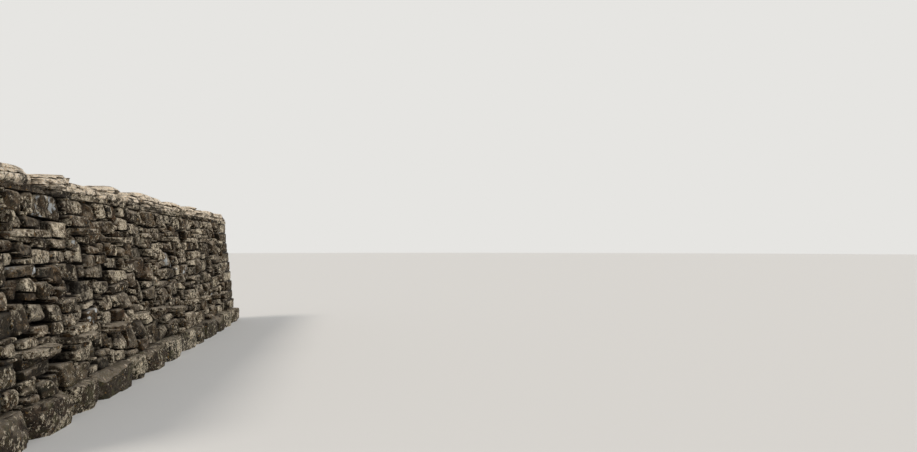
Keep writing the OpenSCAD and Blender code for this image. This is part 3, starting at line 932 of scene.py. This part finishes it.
# Slivers are split thin and driven in tight, so they are hardly worn
as_sliver = {"rounding": 0.001, "rough": 0.001, "chip_count": 2, "chip_depth": 0.004,
             "flat_beds": 1}
for row, half in (("lower", packing_half[0]), ("upper", packing_half[1])):
    heap = Heap()
    for corners in solids_of(row + "_throughs"):
        heap.lay(*stone_from(corners, spacing=0.022, rounding=0.002, rough=0.009,
                             chip_count=8, chip_depth=0.02, ledges=0.012, flat_beds=0.8))
        # Slivers of packing driven in at both sides of the slab, between the skins
        near, far = corners.min(0), corners.max(0)
        for x in (near[0], far[0]):
            sliver = block((x - 0.012, x + 0.012), (-half, half), (near[2], far[2]))
            heap.lay(*stone_from(sliver, spacing=0.022, **as_sliver))
    heap.piece(row + "_through_stones", slab_limestone, "through_stone", row + "_throughs")

# Wall heads.
# Each end is finished with the squarest stones: a tie laid right across the wall, then a
# pair of runners laid along it, and so on up, which bonds the end into both skins.

# The stone's own grey and brown, written darker than the stone is as painted shade of the
# wall's shaded faces
head_limestone = limestone("head_limestone", "#251f18", "#4e4436", "#7d705f",
                           lichen=0.74, moss=0.2, bleach_and_sunlight=0.3, bedding=0.3)
for end in ("near", "far"):
    for kind in ("ties", "runners"):
        heap = Heap()
        for corners in solids_of(f"{end}_head_{kind}"):
            heap.lay(*stone_from(corners, spacing=0.02, rounding=0.008, rough=0.012,
                                 chip_count=10, chip_depth=0.018, ledges=0.006,
                                 flat_beds=1, shade_and_dirt=0.8))
            # A small stone is wedged between the two runners of a pair, 25 mm back from the
            # end of the wall. Each corner of its top is at a height of its own
            low, high = corners.min(0), corners.max(0)
            if low[1] > 0:
                near, far = (low[0] + 0.025, low[0] + 0.2) if low[0] < 0 else (
                    high[0] - 0.2, high[0] - 0.025)
                wedge = np.array([(x, y, z) for x in (near, far)
                                  for y in (-low[1] - 0.016, low[1] + 0.016)
                                  for z in (low[2], high[2] - rng.uniform(0, 0.015))])
                heap.lay(*stone_from(wedge, spacing=0.012, rounding=0.002, rough=0.004,
                                     chip_count=3, chip_depth=0.006, shade_and_dirt=1))
        heap.piece(f"{end}_head_{kind}_stones", head_limestone, "head_stone",
                   f"{end}_head_{kind}")

# Cover band.
# Thin slabs laid across the top of both skins close the wall and carry the caps. Their
# broken edges are coloured darker than the other slabs as painted shade, so they show as a
# shadowed line just under the coping.

# Darker than the through slabs: painted shade of the band under the caps
cover_limestone_painted_shade = limestone("cover_limestone_painted_shade", "#1f1914", "#3f3629", "#6b5f4f",
                            lichen=0.62, moss=0.1, bleach_and_sunlight=0.25, bedding=0.7)
heap = Heap()
for corners in solids_of("cover_band"):
    heap.lay(*stone_from(corners, spacing=0.022, rounding=0.002, rough=0.009, chip_count=9,
                         chip_depth=0.02, ledges=0.02, flat_beds=0.9))
    # A sliver is pushed into the joint beside each slab, back from both faces
    near, far = corners.min(0), corners.max(0)
    if far[0] < end_x - joint:
        sliver = block((far[0] - 0.014, far[0] + 0.02), (-0.7 * far[1], 0.7 * far[1]),
                       (near[2], far[2]))
        heap.lay(*stone_from(sliver, spacing=0.03, **as_sliver))
heap.piece("cover_slabs", cover_limestone_painted_shade, "cover_stone", "cover_band")

# Cap stones.
# Heavy flat-laid slabs, each as it came out of the ground, that press the wall together.
# Sun and rain have bleached their broken tops to a warm cream under grey lichen, and part of
# the cream is painted sunlight.

# Bleaching and painted sunlight cover its tops and come far down its sides
cap_limestone = limestone("cap_limestone", "#332a21", "#6a5d4d", "#a09282",
                          lichen=0.9, moss=0.0, bleach_and_sunlight=1, bedding=0.9, sunlit=0.95,
                          cracked=0.55)
# Where a cap's layers part, as shares of its height, how far back each is broken, from the
# bottom up, and how often such caps come: stepped, stepped twice, and undercut with a dark
# shadow below
cap_forms = [((0.45,), (0.014, 0.07)), ((0.34, 0.66), (0.012, 0.04, 0.09)),
             ((0.38,), (0.085, 0.025))]
cap_odds = (0.25, 0.3, 0.45)
cap_nodes = sorted((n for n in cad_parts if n.startswith("cap_stone_")),
                   key=lambda n: int(n.rsplit("_", 1)[1]))


def cap_layers(corners, beds, depths):
    """The layers of rock in a cap, from the bottom up, each broken back along lines of its
    own. beds are the levels where they part, as shares of the cap's height, and depths say
    how far back each layer is broken."""
    cloud_size, sunk, room, level_below = 6000, 0.005, 0.012, 0.01
    low, high = corners.min(0), corners.max(0)
    shape_n, shape_d = hull_planes(corners)
    # Points all through the cap find where each layer's own faces and ends lie
    cloud = rng.uniform(low, high, (cloud_size, 3))
    cloud = cloud[(cloud @ shape_n.T < shape_d).all(1)]
    up = np.array([rng.normal(0, 0.05), rng.normal(0, 0.05), 1])
    up /= np.linalg.norm(up)
    levels = [up @ [*cloud[:, :2].mean(0), low[2] + bed * (high[2] - low[2])] for bed in beds]
    for k, depth in enumerate(depths):
        normals, offsets = list(shape_n), list(shape_d)
        if k < len(levels):
            normals.append(up)
            offsets.append(levels[k])
        # Each layer is sunk a little into the one below, so that no light shows between them
        if k:
            normals.append(-up)
            offsets.append(sunk - levels[k - 1])
        part = cloud[(cloud @ np.array(normals).T < offsets).all(1)]
        # The ends are broken back less, because the caps stand close together
        for _ in range(6):
            turn = rng.uniform(0, 2 * math.pi)
            n = np.array([math.cos(turn), math.sin(turn), rng.uniform(-0.1, 0.4)])
            n /= np.linalg.norm(n)
            normals.append(n)
            offsets.append((part @ n).max()
                           - depth * (1 - 0.75 * abs(n[0])) * rng.uniform(0.1, 1))
        normals, offsets = np.array(normals), np.array(offsets)
        part = part[(part @ normals.T < offsets).all(1)]
        middle = part.mean(0)
        half = np.abs(part - middle).max(0) + room
        normals, offsets = chip(normals, offsets - normals @ middle, part - middle, count=7,
                                depth=0.03 if k else 0.015)
        skin, quads = box_skin(half, spacing=0.015, fewest=4)
        made, way, facing = carve(skin, half, normals, offsets, rounding=0.001)
        made = weather(made, way, facing, rough=0.012, ledges=0.02) + middle
        # The lowest layer lies flat on the cover band
        if not k:
            made[made[:, 2] < low[2] + level_below, 2] = low[2]
        yield made, quads


for node in cap_nodes:
    heap = Heap()
    for corners in solids_of(node):
        beds, depths = cap_forms[rng.choice(len(cap_forms), p=cap_odds)]
        for layer in cap_layers(corners, beds, depths):
            heap.lay(*layer)
    heap.piece(node.replace("cap_stone", "weathered_cap"), cap_limestone, "cap_stone", node)
